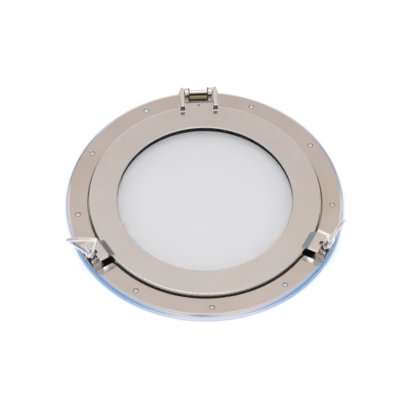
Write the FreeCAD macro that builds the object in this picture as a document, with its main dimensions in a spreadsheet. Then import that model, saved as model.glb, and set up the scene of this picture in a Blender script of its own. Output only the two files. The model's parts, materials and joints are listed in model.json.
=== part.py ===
import FreeCAD, Part
import math
import os

import Sketcher

# Opening porthole, lying on its back: +Z out of the face, +Y towards the hinge,
# origin at the centre of the flange ring's back plane. Millimetres and degrees.

DIMENSIONS = [
    ("outer_radius", 215.0, "flange ring, outer edge"),
    ("face_edge_radius", 208.5, "flange ring, where its flat face ends and the bevel starts"),
    ("bevel_radius", 211.5, "flange ring, where the bevel meets the rounded shoulder"),
    ("bevel_height", 9.2, "height of that meeting line"),
    ("shoulder_radius", 7.2, "rounding of the shoulder"),
    ("rim_height", 3.0, "straight part of the rim"),
    ("flange_height", 11.0, "flange ring, face above its back plane"),
    ("face_plate", 4.0, "thickness of the hollow-backed face"),
    ("recess_radius", 180.5, "recess that the door ring drops into"),
    ("recess_wall", 4.7, "wall between recess and hollow back"),
    ("ledge_height", 2.6, "ledge under the door ring"),
    ("light_radius", 160.0, "clear hole through the flange ring"),
    ("hollow_draft", 0.5, "slant of the hollow's inner wall"),
    ("hollow_outer_reach", 5.5, "hollow's ceiling ends this far inside the bevel's foot"),
    ("hollow_slope_reach", 1.9, "and its sloped corner this far inside"),
    ("hollow_slope_drop", 2.5, "height of that corner"),
    ("rim_wall_reach", 0.7, "hollow's outer wall, inside the bevel's foot"),
    ("edge_break", 0.8, "small chamfer on sharp edges"),
    ("screw_circle_radius", 196.5, "fixing screws, from the centre"),
    ("screw_hole_radius", 2.7, "fixing screw holes"),
    ("screw_spread", 25.0, "fixing screws, each side of the hinge and of each dog"),
    ("screw_seat_radius", 4.4, "round seat sunk in the face for a fixing screw's head"),
    ("screw_seat_depth", 1.3, "depth of that seat"),
    ("screw_head_radius", 3.3, "fixing screw, domed head"),
    ("screw_head_side", 0.9, "fixing screw, straight side of the head"),
    ("screw_dome_height", 1.7, "fixing screw, dome above that side"),
    ("screw_cross_depth", 0.9, "fixing screw, cross recess"),
    ("screw_cross_half_length", 1.8, "fixing screw, cross recess"),
    ("screw_cross_half_width", 0.4, "fixing screw, cross recess"),
    ("screw_shoulder_radius", 2.5, "fixing screw, plain shank"),
    ("screw_thread_radius", 2.1, "fixing screw, thread"),
    ("screw_tip_height", 0.6, "fixing screw, tip above the back plane"),
    ("door_radius", 178.3, "door ring, outer edge"),
    ("door_edge_rounding", 2.0, "door ring, rounding of its outer edge"),
    ("door_face_height", 19.0, "door ring, face above the back plane"),
    ("door_back_height", 4.2, "door ring, back face"),
    ("door_edge_break", 1.0, "door ring, chamfer of its inner edge"),
    ("pane_opening_radius", 135.0, "door ring, clear opening"),
    ("pane_radius", 145.0, "glass disc"),
    ("pane_thickness", 4.0, "glass disc"),
    ("seal_seat_radius", 138.5, "door ring, wall behind the glazing seal's lip"),
    ("seal_lip_height", 17.4, "glazing seal, top of its lip"),
    ("seal_foot_height", 12.2, "glazing seal, top of its foot"),
    ("retainer_inner_radius", 139.0, "glass retaining ring"),
    ("retainer_outer_radius", 157.0, "glass retaining ring"),
    ("retainer_thickness", 2.6, "glass retaining ring"),
    ("retainer_screw_circle", 151.5, "retaining ring screws, from the centre"),
    ("retainer_screw_radius", 1.9, "retaining ring screws, shank"),
    ("retainer_screw_flare", 1.7, "retaining ring screws, countersunk head beyond the shank"),
    ("retainer_screw_length", 8.2, "retaining ring screws, reach into the door ring"),
    ("door_seal_inner", 164.0, "gasket on the ledge"),
    ("door_seal_outer", 171.0, "gasket on the ledge"),
    ("door_seal_thickness", 1.25, "gasket on the ledge"),
    ("hinge_reach", 200.0, "hinge pin axis, from the centre"),
    ("hinge_height", 26.0, "hinge pin axis, above the back plane"),
    ("hinge_pin_radius", 3.2, "hinge pin"),
    ("hinge_pin_length", 62.0, "hinge pin"),
    ("hinge_ear_radius", 6.5, "flange-side hinge ears"),
    ("hinge_ear_outer", 21.5, "outer face of those ears, from the middle"),
    ("hinge_ear_inner", 14.0, "inner face of those ears, from the middle"),
    ("hinge_web_height", 21.8, "web between those ears"),
    ("hinge_web_front", 9.2, "that web, in front of the pin axis"),
    ("hinge_web_back", 5.0, "that web, behind the pin axis"),
    ("hinge_web_rounding", 5.0, "that web, its front top edge"),
    ("hinge_foot_front", 9.4, "hinge bracket's foot, in front of the pin axis"),
    ("hinge_foot_back", 7.6, "hinge bracket's foot, behind the pin axis"),
    ("hinge_foot_thickness", 3.0, "hinge bracket's foot"),
    ("hinge_screw_offset", 10.0, "hinge bracket screws, from the middle"),
    ("hinge_screw_grip", 6.0, "hinge bracket screws, reach into the bracket"),
    ("machine_screw_radius", 2.0, "hinge bracket and hinge arm screws, shank"),
    ("screw_slot_half_width", 0.5, "slot in their heads"),
    ("screw_slot_depth", 1.1, "slot in their heads"),
    ("hinge_screw_head_radius", 3.8, "hinge bracket screws, head"),
    ("hinge_screw_head_height", 2.4, "hinge bracket screws, head"),
    ("arm_offset", 25.75, "hinge arm's middle plane, from the middle"),
    ("arm_thickness", 5.4, "hinge arm"),
    ("arm_end_radius", 7.8, "hinge arm, round the pin"),
    ("arm_foot_reach", 168.0, "hinge arm, front end of its foot"),
    ("arm_foot_width", 9.4, "hinge arm, foot where it meets its base"),
    ("arm_foot_height", 10.6, "hinge arm, height over which the foot narrows to the arm"),
    ("arm_foot_taper", 10.5, "hinge arm, slant of the foot's sides in degrees"),
    ("arm_base_reach", 166.4, "hinge arm, front edge of its thin base"),
    ("arm_base_width", 10.8, "hinge arm, thin base"),
    ("arm_base_height", 1.2, "hinge arm, thin base"),
    ("arm_front_height", 31.0, "hinge arm, top of its front end"),
    ("arm_front_rounding", 2.5, "hinge arm, top of its front end"),
    ("arm_screw_reach", 172.0, "hinge arm screws, from the centre"),
    ("arm_screw_grip", 8.5, "hinge arm screws, reach into the arm"),
    ("arm_screw_head_radius", 3.0, "hinge arm screws, head"),
    ("arm_screw_head_height", 2.6, "hinge arm screws, head"),
    ("arm_screw_seat_radius", 3.2, "hinge arm screws, seat in the door ring"),
    ("arm_screw_seat_depth", 3.0, "hinge arm screws, seat in the door ring"),
    ("tab_reach", 184.0, "door ring's hinge tab, far edge"),
    ("tab_half_width", 31.0, "door ring's hinge tab"),
    ("tab_underside", 12.5, "door ring's hinge tab"),
    ("tab_screw_inset", 5.0, "small screw between the arms, from the tab's far edge"),
    ("tab_hole_radius", 1.2, "its hole"),
    ("tab_hole_flare", 0.9, "chamfer of its hole"),
    ("tab_screw_radius", 1.1, "its shank"),
    ("tab_screw_head_radius", 1.9, "its countersunk head"),
    ("running_clearance", 0.05, "pin in a turning hole, radial"),
    ("dog_angle", 120.0, "each dog, from the hinge"),
    ("dog_lean", 16.0, "slackened dog, outward from upright"),
    ("dog_pin_reach", 200.8, "dog pin axis, from the centre"),
    ("dog_pin_height", 7.0, "dog pin axis, above the back plane"),
    ("dog_pin_radius", 2.2, "dog pin"),
    ("dog_pin_length", 20.0, "dog pin"),
    ("pocket_half_width", 18.5, "dog pocket through the flange ring"),
    ("pocket_inner_reach", 176.5, "dog pocket, side next to the door ring"),
    ("pocket_outer_reach", 210.3, "dog pocket, side next to the rim"),
    ("pocket_corner", 2.0, "dog pocket, rounding of its outer corners"),
    ("pocket_bevel", 0.7, "dog pocket, bevel of its edge"),
    ("ramp_run", 13.0, "sloped ends of the dog pocket, along the rim"),
    ("ramp_drop", 5.0, "sloped ends of the dog pocket, depth at the hole"),
    ("boss_half_width", 33.0, "solid metal round the dog pocket"),
    ("boss_height", 8.0, "height of that metal"),
    ("ear_inner", 4.3, "dog bracket, inner face of an ear"),
    ("ear_outer", 9.2, "dog bracket, outer face of an ear"),
    ("ear_half_depth", 7.5, "dog bracket, ear each side of the pin"),
    ("ear_height", 17.0, "dog bracket, top of the ears"),
    ("ear_rounding", 4.5, "dog bracket, top corners of the ears"),
    ("bracket_plate", 1.6, "dog bracket, base plate"),
    ("bracket_inner_depth", 9.8, "dog bracket, base plate inward of the pin axis"),
    ("bracket_outer_depth", 8.8, "dog bracket, base plate outward of the pin axis"),
    ("bracket_clearance", 0.4, "round the base plate, outward and inward"),
    ("bracket_side_clearance", 0.2, "beside the base plate"),
    ("bracket_half_width", 25.5, "dog bracket, base plate"),
    ("bracket_screw_offset", 22.0, "dog bracket screws, from the middle"),
    ("bracket_screw_radius", 1.6, "dog bracket screws, shank"),
    ("bracket_screw_flare", 1.25, "dog bracket screws, countersunk head beyond the shank"),
    ("bracket_hole_flare", 1.3, "its seat in the base plate"),
    ("bracket_screw_top", 5.4, "dog bracket screws, tip above the back plane"),
    ("bracket_thread_top", 5.6, "dog bracket screws, end of the threaded hole"),
    ("lug_start_reach", 172.0, "door lug, foot of its ramp"),
    ("lug_ramp_reach", 184.5, "door lug, top of its ramp"),
    ("lug_ramp_rounding", 3.0, "door lug, rounding at the top of its ramp"),
    ("lug_neck", 3.0, "door lug, slant under its root"),
    ("lug_corner", 2.0, "door lug, outer corners"),
    ("slot_corner", 3.0, "door lug, corners of the slot's closed end"),
    ("lug_end_reach", 200.3, "door lug, ends of its tines"),
    ("lug_top_height", 28.0, "door lug, top"),
    ("lug_thickness", 6.0, "door lug, outside the door ring"),
    ("lug_half_width", 15.9, "door lug"),
    ("slot_half_width", 3.8, "door lug, slot between its tines"),
    ("slot_end_reach", 195.0, "door lug, closed end of the slot"),
    ("eye_radius", 5.0, "swing bolt, eye"),
    ("eye_width", 8.0, "swing bolt, eye"),
    ("bolt_radius", 3.0, "swing bolt, shank"),
    ("bolt_tip_rounding", 1.0, "swing bolt, tip"),
    ("bolt_length", 51.0, "swing bolt, from the pin's axis to its tip"),
    ("washer_lift", 22.0, "washer, from the dog pin's axis along the bolt"),
    ("washer_radius", 6.3, "washer"),
    ("washer_bore_radius", 3.3, "washer"),
    ("washer_thickness", 1.2, "washer"),
    ("nut_base_radius", 6.0, "wing nut, foot of its hub"),
    ("nut_waist_radius", 7.3, "wing nut, widest part of its hub"),
    ("nut_waist_height", 4.0, "wing nut, height of that part"),
    ("nut_hub_height", 10.0, "wing nut, hub"),
    ("nut_root_half_width", 6.6, "wing nut, loop where it leaves the hub"),
    ("nut_root_height", 2.6, "wing nut, height of that root"),
    ("nut_arm_width", 6.0, "wing nut, arms of the loop at the top bar"),
    ("nut_opening_half_width", 3.6, "wing nut, loop's opening at the hub"),
    ("nut_bar", 5.2, "wing nut, top bar"),
    ("nut_arch", 4.0, "wing nut, rise of the top bar"),
    ("nut_inner_arch", 3.0, "wing nut, rise of the opening's top"),
    ("nut_corner", 2.2, "wing nut, corners of the loop"),
    ("nut_edge_rounding", 1.2, "wing nut, edges of the loop"),
    ("nut_height", 54.0, "wing nut, to the top of its loop"),
    ("nut_half_width", 25.3, "wing nut, loop"),
    ("nut_thickness", 5.4, "wing nut, loop"),
    ("nut_tip_drop", 1.5, "wing nut, slope at the top of its hub"),
    ("nut_tip_widening", 0.6, "wing nut, hub at the foot of that slope"),
    ("nut_tip_narrowing", 0.9, "wing nut, hub at its top"),
    ("washer_edge", 0.2, "washer, bevelled edge"),
    ("hole_clearance", 0.1, "clearance holes and seats, beyond what they hold"),
    ("tap_spare", 0.5, "tapped holes of the hinge, beyond the screw's tip"),
    ("retainer_tap_spare", 0.3, "tapped holes of the retainer, beyond the screw's tip"),
    ("screw_point_narrowing", 0.6, "fixing screw, tip within its thread"),
    ("screw_point_height", 0.8, "fixing screw, height of its tip"),
    ("screw_neck_height", 0.3, "fixing screw, cone between thread and head"),
    ("door_seal_bevel", 0.5, "door seal, bevelled edges"),
    ("pane_gap", 0.6, "door ring, clearance round the pane"),
    ("seal_lip_overhang", 0.3, "glazing seal, lip's inner edge beyond the pane's opening"),
    ("seal_pane_gap", 0.5, "glazing seal, clearance round the pane"),
    ("seal_fit", 0.05, "glazing seal, clearance in its seat"),
    ("arm_foot_lead", 0.4, "hinge arm, wider foot in front of the arm"),
    ("arm_foot_inset", 0.5, "hinge arm, wider foot short of the tab's edge"),
    ("arm_base_inset", 0.2, "hinge arm, thin base short of the tab's edge"),
    ("nut_turn_left", 50.0, "left wing nut, turn of its loop"),
    ("nut_turn_right", -6.0, "right wing nut, turn of its loop"),
]

doc = FreeCAD.newDocument("opening_porthole")
sheet = doc.addObject("Spreadsheet::Sheet", "dimensions")
for row, (alias, value, meaning) in enumerate(DIMENSIONS, start=1):
    sheet.set(f"A{row}", alias)
    sheet.set(f"B{row}", str(value))
    sheet.set(f"C{row}", meaning)
    sheet.setAlias(f"B{row}", alias)
doc.recompute()


class Size:
    """A number together with the sheet expression that gives it."""

    def __init__(self, text, value):
        self.text = text
        self.value = float(value)

    def combine(self, sign, other, result):
        return Size(f"({self.text} {sign} {as_size(other).text})", result)

    def __add__(self, other):
        return self.combine("+", other, self.value + as_size(other).value)

    def __sub__(self, other):
        return self.combine("-", other, self.value - as_size(other).value)

    def __mul__(self, other):
        return self.combine("*", other, self.value * as_size(other).value)

    def __neg__(self):
        return Size(f"(0 - {self.text})", -self.value)


def as_size(number):
    return number if isinstance(number, Size) else Size(f"{number:g}", number)


def dim(alias):
    return Size(f"dimensions.{alias}", sheet.get(alias))


def bind(thing, prop, size):
    thing.setExpression(prop, as_size(size).text)


# ---- sketches and features ----

X_AXIS = FreeCAD.Vector(1, 0, 0)
Y_AXIS = FreeCAD.Vector(0, 1, 0)
Z_AXIS = FreeCAD.Vector(0, 0, 1)
ORIGIN = FreeCAD.Vector(0, 0, 0)
THROUGH = 400.0  # longer than any piece
SPARE = 20.0  # how far a cut goes on beyond the metal
SLOT_REACH = 6.0  # longer than half of any slotted screw head
CLOSE = 1e-4  # two lengths nearer than this count as equal


def new_body(label):
    part = doc.addObject("PartDesign::Body", label)
    part.Label = label
    return part


def new_sketch(part, plane, lift=0.0, turn=None):
    """A sketch on one of the body's own planes, lifted along its normal and turned in it."""
    sketch = part.newObject("Sketcher::SketchObject", f"{part.Label}_outline")
    support = next(f for f in part.Origin.OriginFeatures if f.Role == plane)
    sketch.AttachmentSupport = [(support, "")]
    sketch.MapMode = "FlatFace"
    bind(sketch, "AttachmentOffset.Base.z", lift)
    if turn is not None:
        bind(sketch, "AttachmentOffset.Rotation.Angle", turn)
    return sketch


def place_point(sketch, geometry, which, x, y):
    """Holds a point at (x, y) from the sketch's origin."""
    for kind, size in (("DistanceX", x), ("DistanceY", y)):
        size = as_size(size)
        index = sketch.addConstraint(Sketcher.Constraint(kind, -1, 1, geometry, which, size.value))
        sketch.setExpression(f"Constraints[{index}]", size.text)


def add_circle(sketch, x, y, radius):
    x, y, radius = as_size(x), as_size(y), as_size(radius)
    centre = FreeCAD.Vector(x.value, y.value, 0)
    circle = sketch.addGeometry(Part.Circle(centre, Z_AXIS, radius.value), False)
    place_point(sketch, circle, 3, x, y)
    index = sketch.addConstraint(Sketcher.Constraint("Radius", circle, radius.value))
    sketch.setExpression(f"Constraints[{index}]", radius.text)


def arc_middle(start, end, radius):
    """Middle of the short arc that bulges to the right of the way from start to end."""
    chord = end - start
    right = FreeCAD.Vector(chord.y, -chord.x, 0).normalize()
    sagitta = radius - math.sqrt(radius**2 - chord.Length**2 / 4)
    return (start + end) * 0.5 + right * sagitta


def add_outline(sketch, corners, arcs=None):
    """A closed outline through the corners; arcs gives some sides, by number, a radius."""
    arcs = arcs or {}
    corners = [(as_size(x), as_size(y)) for x, y in corners]
    points = [FreeCAD.Vector(x.value, y.value, 0) for x, y in corners]
    sides = []
    for i, start in enumerate(points):
        end = points[(i + 1) % len(points)]
        if i in arcs:
            middle = arc_middle(start, end, as_size(arcs[i]).value)
            curve = Part.Arc(start, middle, end)
        else:
            curve = Part.LineSegment(start, end)
        sides.append(sketch.addGeometry(curve, False))
    ends = [(1, 2)] * len(sides)
    for i in arcs:
        near_start = sketch.getPoint(sides[i], 1).distanceToPoint(points[i]) < 1e-6
        ends[i] = (1, 2) if near_start else (2, 1)
    for i, side in enumerate(sides):
        following = (i + 1) % len(sides)
        joint = Sketcher.Constraint("Coincident", side, ends[i][1], sides[following], ends[following][0])
        sketch.addConstraint(joint)
        place_point(sketch, side, ends[i][0], *corners[i])
    for i, radius in arcs.items():
        radius = as_size(radius)
        index = sketch.addConstraint(Sketcher.Constraint("Radius", sides[i], radius.value))
        sketch.setExpression(f"Constraints[{index}]", radius.text)


def add_rectangle(sketch, x_low, x_high, y_low, y_high):
    add_outline(sketch, [(x_low, y_low), (x_high, y_low), (x_high, y_high), (x_low, y_high)])


def extrude(part, kind, sketch, length, both_ways=False, flipped=False):
    """A Pad along the sketch's normal or a Pocket against it, or the other way when flipped."""
    feature = part.newObject(f"PartDesign::{kind}", f"{part.Label}_{kind}")
    feature.Profile = sketch
    bind(feature, "Length", length)
    if both_ways:
        feature.SideType = "Symmetric"
    feature.Reversed = flipped
    sketch.Visibility = False
    return feature


def revolve(part, sketch):
    feature = part.newObject("PartDesign::Revolution", f"{part.Label}_revolution")
    feature.Profile = sketch
    feature.ReferenceAxis = (sketch, ["V_Axis"])
    feature.Angle = 360
    return feature


def dress(part, kind, size, chosen):
    """A Fillet or a Chamfer on the edges that the function chosen picks."""
    doc.recompute()
    base = part.Tip
    names = [f"Edge{i}" for i, edge in enumerate(base.Shape.Edges, start=1) if chosen(edge)]
    feature = part.newObject(f"PartDesign::{kind}", f"{part.Label}_{kind}")
    feature.Base = (base, names)
    bind(feature, "Radius" if kind == "Fillet" else "Size", size)
    return feature


def copies(label, template, placements):
    """One node that holds a separate solid of the template at each placement."""
    doc.recompute()
    solids = []
    for placement in placements:
        solid = template.Shape.copy()
        solid.Placement = placement.multiply(solid.Placement)
        solids.append(solid)
    group = doc.addObject("Part::Feature", label)
    group.Label = label
    group.Shape = Part.makeCompound(solids)
    group.Placement = FreeCAD.Placement()
    return group


def is_circle(edge, radius):
    return isinstance(edge.Curve, Part.Circle) and abs(edge.Curve.Radius - as_size(radius).value) < CLOSE


def along(edge, axis):
    """Whether the edge is straight and runs along the axis."""
    return isinstance(edge.Curve, Part.Line) and abs(abs(edge.tangentAt(0).dot(axis)) - 1) < CLOSE


def middle_at(edge, **place):
    """Whether the edge's centre has the given coordinates, such as z=4."""
    return all(
        abs(getattr(edge.CenterOfMass, axis) - as_size(value).value) < CLOSE for axis, value in place.items())


def add_slot(screw, height, half_width, depth):
    """A driver slot cut upward into a head that faces down."""
    slot = new_sketch(screw, "XY_Plane", lift=height)
    add_rectangle(slot, -SLOT_REACH, SLOT_REACH, -half_width, half_width)
    extrude(screw, "Pocket", slot, depth, flipped=True)


# ---- placements ----


def turned(angle):
    return FreeCAD.Placement(ORIGIN, FreeCAD.Rotation(Z_AXIS, angle))


def shifted(x, y, z):
    return FreeCAD.Placement(FreeCAD.Vector(x, y, z), FreeCAD.Rotation())


SIDES = {"left": 1.0, "right": -1.0}


def dog_station(side):
    """Frame of a dog: local +Y runs out along its radius, local X along the rim."""
    return turned(SIDES[side] * dim("dog_angle").value)


def bolt_station(side, lift=0.0, turn=0.0):
    """Frame on a leaning swing bolt, lift along it from the dog pin; local +Z is its axis."""
    pin = shifted(0, dim("dog_pin_reach").value, dim("dog_pin_height").value)
    lean = FreeCAD.Placement(ORIGIN, FreeCAD.Rotation(X_AXIS, -dim("dog_lean").value))
    return dog_station(side).multiply(pin).multiply(lean).multiply(shifted(0, 0, lift)).multiply(turned(turn))


def fixing_screw_angles():
    """The screws lie in pairs about the hinge and each dog, with one midway between those."""
    spread = dim("screw_spread").value
    step = dim("dog_angle").value
    angles = []
    for fitting in range(3):
        middle = 90 + fitting * step
        angles += [middle - spread, middle + spread, middle + step / 2]
    return angles


# ---- pieces of the flange side ----


def add_pocket_outline(sketch, grow):
    """The dog pocket's outline, larger all round by grow, its outer corners rounded."""
    half, corner = dim("pocket_half_width") + grow, dim("pocket_corner") + grow
    near, far = dim("pocket_inner_reach") - grow, dim("pocket_outer_reach") + grow
    corners = [
        (-half, near),
        (half, near),
        (half, far - corner),
        (half - corner, far),
        (-(half - corner), far),
        (-half, far - corner),
    ]
    add_outline(sketch, corners, arcs={2: corner, 4: corner})


def cut_pocket_ramps(ring):
    """The flange's face slopes down into the dog pocket from both ends."""
    ramps = ring.newObject("Sketcher::SketchObject", "flange_ring_ramps")
    upright = FreeCAD.Placement(ORIGIN, FreeCAD.Rotation(X_AXIS, 90))
    start = shifted(0, dim("pocket_inner_reach").value, 0)
    ramps.Placement = dog_station("left").multiply(start).multiply(upright)
    half, top = dim("pocket_half_width"), dim("flange_height")
    far, low = half + dim("ramp_run"), top - dim("ramp_drop")
    add_outline(ramps, [(half, low), (far, top), (half, top)])
    add_outline(ramps, [(-half, low), (-half, top), (-far, top)])
    return extrude(ring, "Pocket", ramps, dim("pocket_outer_reach") - dim("pocket_inner_reach"))


def make_flange_body(ring):
    """The turned ring itself, hollow at the back."""
    hollow_ceiling = dim("flange_height") - dim("face_plate")
    hollow_inner = dim("recess_radius") + dim("recess_wall")
    section = new_sketch(ring, "XZ_Plane")
    corners = [
        (dim("outer_radius"), 0),
        (dim("outer_radius"), dim("rim_height")),
        (dim("bevel_radius"), dim("bevel_height")),
        (dim("face_edge_radius"), dim("flange_height")),
        (dim("recess_radius") + dim("edge_break"), dim("flange_height")),
        (dim("recess_radius"), dim("flange_height") - dim("edge_break")),
        (dim("recess_radius"), dim("ledge_height")),
        (dim("light_radius"), dim("ledge_height")),
        (dim("light_radius"), 0),
        (hollow_inner, 0),
        (hollow_inner + dim("hollow_draft"), hollow_ceiling),
        (dim("bevel_radius") - dim("hollow_outer_reach"), hollow_ceiling),
        (dim("bevel_radius") - dim("hollow_slope_reach"), hollow_ceiling - dim("hollow_slope_drop")),
        (dim("bevel_radius") - dim("rim_wall_reach"), 0),
    ]
    add_outline(section, corners, arcs={1: dim("shoulder_radius")})
    revolve(ring, section)


def cut_dog_pockets(ring):
    """At each dog: solid metal, the pocket with its bevel and ramps, and the bracket's seat."""
    beside, top, reach = dim("dog_angle"), dim("flange_height"), dim("dog_pin_reach")
    boss = new_sketch(ring, "XY_Plane", turn=beside)
    near = dim("recess_radius") + dim("edge_break")
    add_rectangle(boss, -dim("boss_half_width"), dim("boss_half_width"), near, dim("bevel_radius") - 1)
    features = [extrude(ring, "Pad", boss, dim("boss_height"))]
    bevel = dim("pocket_bevel")
    for grow, lift, depth, taper in ((0, 0, THROUGH, 0), (bevel, top, bevel, -45)):
        outline = new_sketch(ring, "XY_Plane", lift=lift, turn=beside)
        add_pocket_outline(outline, grow)
        pocket = extrude(ring, "Pocket", outline, depth, flipped=taper == 0)
        pocket.TaperAngle = taper
        features.append(pocket)
    features.append(cut_pocket_ramps(ring))
    rebate = new_sketch(ring, "XY_Plane", turn=beside)
    half = dim("bracket_half_width") + dim("bracket_side_clearance")
    inner = reach - dim("bracket_inner_depth") - dim("bracket_clearance")
    outer = reach + dim("bracket_outer_depth") + dim("bracket_clearance")
    add_rectangle(rebate, -half, half, inner, outer)
    depth = dim("bracket_plate") + dim("hole_clearance")
    features.append(extrude(ring, "Pocket", rebate, depth, flipped=True))
    threads = new_sketch(ring, "XY_Plane", turn=beside)
    for x in (dim("bracket_screw_offset"), -dim("bracket_screw_offset")):
        add_circle(threads, x, reach, dim("bracket_screw_radius"))
    features.append(extrude(ring, "Pocket", threads, dim("bracket_thread_top"), flipped=True))
    doc.recompute()
    mirrored = ring.newObject("PartDesign::Mirrored", "flange_ring_other_dog")
    mirrored.Originals = features
    mirror_plane = next(f for f in ring.Origin.OriginFeatures if f.Role == "YZ_Plane")
    mirrored.MirrorPlane = (mirror_plane, [""])
    ring.Tip = mirrored


def make_flange_ring():
    ring = new_body("flange_ring")
    make_flange_body(ring)
    cut_dog_pockets(ring)
    holes = new_sketch(ring, "XY_Plane")
    seats = new_sketch(ring, "XY_Plane", lift=dim("flange_height"))
    reach = dim("screw_circle_radius")
    for angle in fixing_screw_angles():
        x = reach * math.cos(math.radians(angle))
        y = reach * math.sin(math.radians(angle))
        add_circle(holes, x, y, dim("screw_hole_radius"))
        add_circle(seats, x, y, dim("screw_seat_radius"))
    for x in (dim("hinge_screw_offset"), -dim("hinge_screw_offset")):
        add_circle(holes, x, dim("hinge_reach"), dim("machine_screw_radius") + dim("hole_clearance"))
    extrude(ring, "Pocket", holes, THROUGH, flipped=True)
    extrude(ring, "Pocket", seats, dim("screw_seat_depth"))
    return ring


def make_fixing_screws():
    """Domed cross-recess screws in sunk seats; the shanks end just inside the hollow back."""
    screw = new_body("flange_screw_pattern")
    section = new_sketch(screw, "XZ_Plane")
    seat = dim("flange_height") - dim("screw_seat_depth")
    under = dim("flange_height") - dim("face_plate")
    side_top = seat + dim("screw_head_side")
    crown = side_top + dim("screw_dome_height")
    radius, height = dim("screw_head_radius").value, dim("screw_dome_height").value
    dome = (radius**2 + height**2) / (2 * height)
    thread = dim("screw_thread_radius")
    corners = [
        (0, dim("screw_tip_height")),
        (thread - dim("screw_point_narrowing"), dim("screw_tip_height")),
        (thread, dim("screw_tip_height") + dim("screw_point_height")),
        (thread, under - dim("screw_neck_height")),
        (dim("screw_shoulder_radius"), under),
        (dim("screw_shoulder_radius"), seat),
        (dim("screw_head_radius"), seat),
        (dim("screw_head_radius"), side_top),
        (0, crown),
    ]
    add_outline(section, corners, arcs={7: dome})
    revolve(screw, section)
    long, wide = dim("screw_cross_half_length"), dim("screw_cross_half_width")
    for half_x, half_y in ((wide, long), (long, wide)):
        recess = new_sketch(screw, "XY_Plane", lift=crown - dim("screw_cross_depth"))
        add_rectangle(recess, -half_x, half_x, -half_y, half_y)
        extrude(screw, "Pocket", recess, THROUGH, flipped=True)
    reach = dim("screw_circle_radius").value
    turn_step = 37  # no two crosses were left at the same angle
    placements = [
        turned(angle).multiply(shifted(reach, 0, 0)).multiply(turned(turn_step * number))
        for number, angle in enumerate(fixing_screw_angles())
    ]
    return copies("flange_screws", screw, placements)


def make_hinge_bracket():
    """Two ears and a low web on the flange face, bored for the hinge pin."""
    bracket = new_body("hinge_bracket")
    reach, height, radius = dim("hinge_reach"), dim("hinge_height"), dim("hinge_ear_radius")
    width = dim("hinge_ear_outer") * 2
    face = dim("flange_height")
    foot = new_sketch(bracket, "YZ_Plane")
    front, back = reach - dim("hinge_foot_front"), reach + dim("hinge_foot_back")
    add_rectangle(foot, front, back, face, face + dim("hinge_foot_thickness"))
    extrude(bracket, "Pad", foot, width, both_ways=True)
    ears = new_sketch(bracket, "YZ_Plane")
    add_rectangle(ears, reach - radius, reach + radius, face, height)
    extrude(bracket, "Pad", ears, width, both_ways=True)
    rounds = new_sketch(bracket, "YZ_Plane")
    add_circle(rounds, reach, height, radius)
    extrude(bracket, "Pad", rounds, width, both_ways=True)
    gap = new_sketch(bracket, "YZ_Plane")
    add_rectangle(gap, reach - SPARE, reach + SPARE, face + dim("hinge_foot_thickness"), height + SPARE)
    extrude(bracket, "Pocket", gap, dim("hinge_ear_inner") * 2, both_ways=True)
    web = new_sketch(bracket, "YZ_Plane")
    front, back = reach - dim("hinge_web_front"), reach + dim("hinge_web_back")
    top, rounding = dim("hinge_web_height"), dim("hinge_web_rounding")
    corners = [(front, face), (back, face), (back, top), (front + rounding, top), (front, top - rounding)]
    add_outline(web, corners, arcs={3: rounding})
    extrude(bracket, "Pad", web, dim("hinge_ear_inner") * 2, both_ways=True)
    bore = new_sketch(bracket, "YZ_Plane")
    add_circle(bore, reach, height, dim("hinge_pin_radius"))
    extrude(bracket, "Pocket", bore, THROUGH, both_ways=True)
    threads = new_sketch(bracket, "XY_Plane", lift=face)
    for x in (dim("hinge_screw_offset"), -dim("hinge_screw_offset")):
        add_circle(threads, x, reach, dim("machine_screw_radius"))
    extrude(bracket, "Pocket", threads, dim("hinge_screw_grip") + dim("tap_spare"), flipped=True)
    return bracket


def make_machine_screw(label, seat, head_radius, head_height, top):
    """A slotted screw with its head down, seated at the given height."""
    screw = new_body(label)
    head = new_sketch(screw, "XY_Plane", lift=seat - head_height)
    add_circle(head, 0, 0, head_radius)
    extrude(screw, "Pad", head, head_height)
    shank = new_sketch(screw, "XY_Plane", lift=seat)
    add_circle(shank, 0, 0, dim("machine_screw_radius"))
    extrude(screw, "Pad", shank, top - seat)
    add_slot(screw, seat - head_height, dim("screw_slot_half_width"), dim("screw_slot_depth"))
    return screw


def make_hinge_bracket_screws():
    seat = dim("flange_height") - dim("face_plate")
    top = dim("flange_height") + dim("hinge_screw_grip")
    radius, height = dim("hinge_screw_head_radius"), dim("hinge_screw_head_height")
    screw = make_machine_screw("hinge_screw_pattern", seat, radius, height, top)
    offset, reach = dim("hinge_screw_offset").value, dim("hinge_reach").value
    return copies("hinge_bracket_screws", screw, [shifted(offset, reach, 0), shifted(-offset, reach, 0)])


def make_round_bar(label, radius, length, rounding, placement):
    """A pin along X with rounded ends."""
    bar = new_body(label)
    section = new_sketch(bar, "YZ_Plane")
    add_circle(section, 0, 0, radius)
    extrude(bar, "Pad", section, length, both_ways=True)
    dress(bar, "Fillet", rounding, lambda edge: is_circle(edge, radius))
    bar.Placement = placement
    return bar


def make_ring(label, corners, arcs=None):
    """A turned ring from its section, given as radius and height."""
    ring = new_body(label)
    section = new_sketch(ring, "XZ_Plane")
    add_outline(section, corners, arcs)
    revolve(ring, section)
    return ring


def make_door_seal():
    low = dim("ledge_height")
    high = low + dim("door_seal_thickness")
    corners = [
        (dim("door_seal_inner"), low),
        (dim("door_seal_outer"), low),
        (dim("door_seal_outer") - dim("door_seal_bevel"), high),
        (dim("door_seal_inner") + dim("door_seal_bevel"), high),
    ]
    return make_ring("door_seal", corners)


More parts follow.
